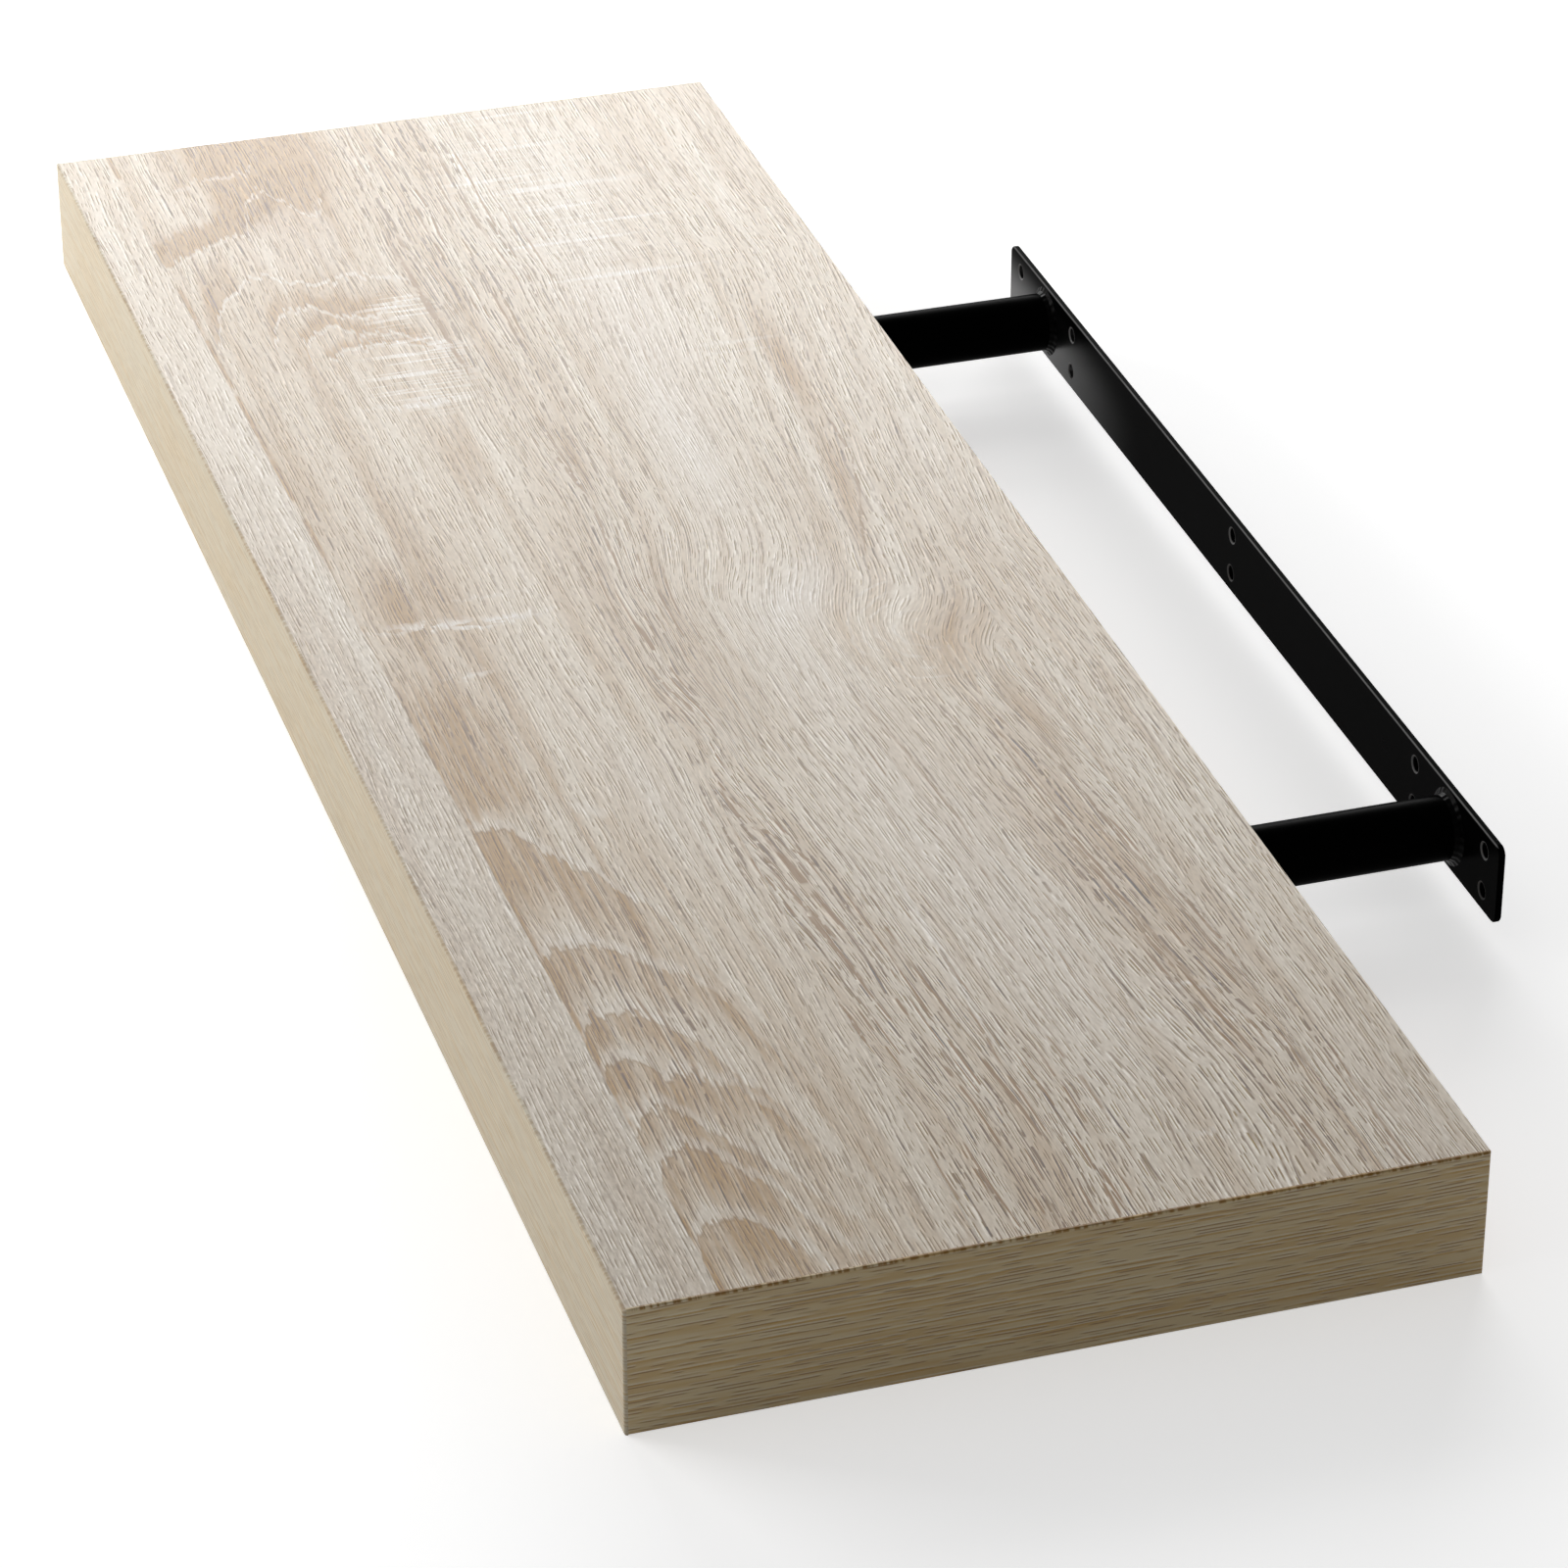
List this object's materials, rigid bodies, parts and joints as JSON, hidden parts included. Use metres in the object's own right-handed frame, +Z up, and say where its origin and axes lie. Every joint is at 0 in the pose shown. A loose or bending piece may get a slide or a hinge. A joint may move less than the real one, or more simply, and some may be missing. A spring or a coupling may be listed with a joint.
{
  "type": "floating wall shelf",
  "caption": "Hollow floating shelf board in pale rough-sawn oak decor that slides onto a concealed black steel wall bracket, a screwed strip with welded carrying tubes.",
  "frame": {"origin": "middle of the bracket plate's back face, on the wall", "axes": "+X along the shelf to its right end seen from the front, +Y into the wall, +Z up"},
  "size_m": [0.7, 0.2976, 0.038],
  "materials": {
    "oak_decor": "matt printed oak decor with embossed pores, pale rough-sawn oak",
    "oak_edge_band": "matt edge band printed with fine straight oak grain",
    "fibreboard": "bare sawn fibreboard",
    "honeycomb_paper": "brown kraft paper",
    "powder_coat": "satin black powder coat"
  },
  "bodies": {
    "bracket": {"wall_plate": "powder_coat", "left_tube": "powder_coat", "right_tube": "powder_coat", "left_weld": "powder_coat", "right_weld": "powder_coat"},
    "shelf": {"top_laminate": "oak_decor", "top_panel": "fibreboard", "bottom_panel": "fibreboard", "bottom_laminate": "oak_decor", "front_rail": "fibreboard", "rear_rail": "fibreboard", "left_end_rail": "fibreboard", "right_end_rail": "fibreboard", "left_guide_block": "fibreboard", "right_guide_block": "fibreboard", "left_core": "honeycomb_paper", "centre_core": "honeycomb_paper", "right_core": "honeycomb_paper", "front_band": "oak_edge_band", "left_band": "oak_edge_band", "right_band": "oak_edge_band"}
  },
  "joints": [
    {"name": "shelf_slide", "type": "slide", "parent": "bracket", "child": "shelf", "axis": [0, -1, 0], "range_m": [-0.0676, 0.09]}
  ]
}
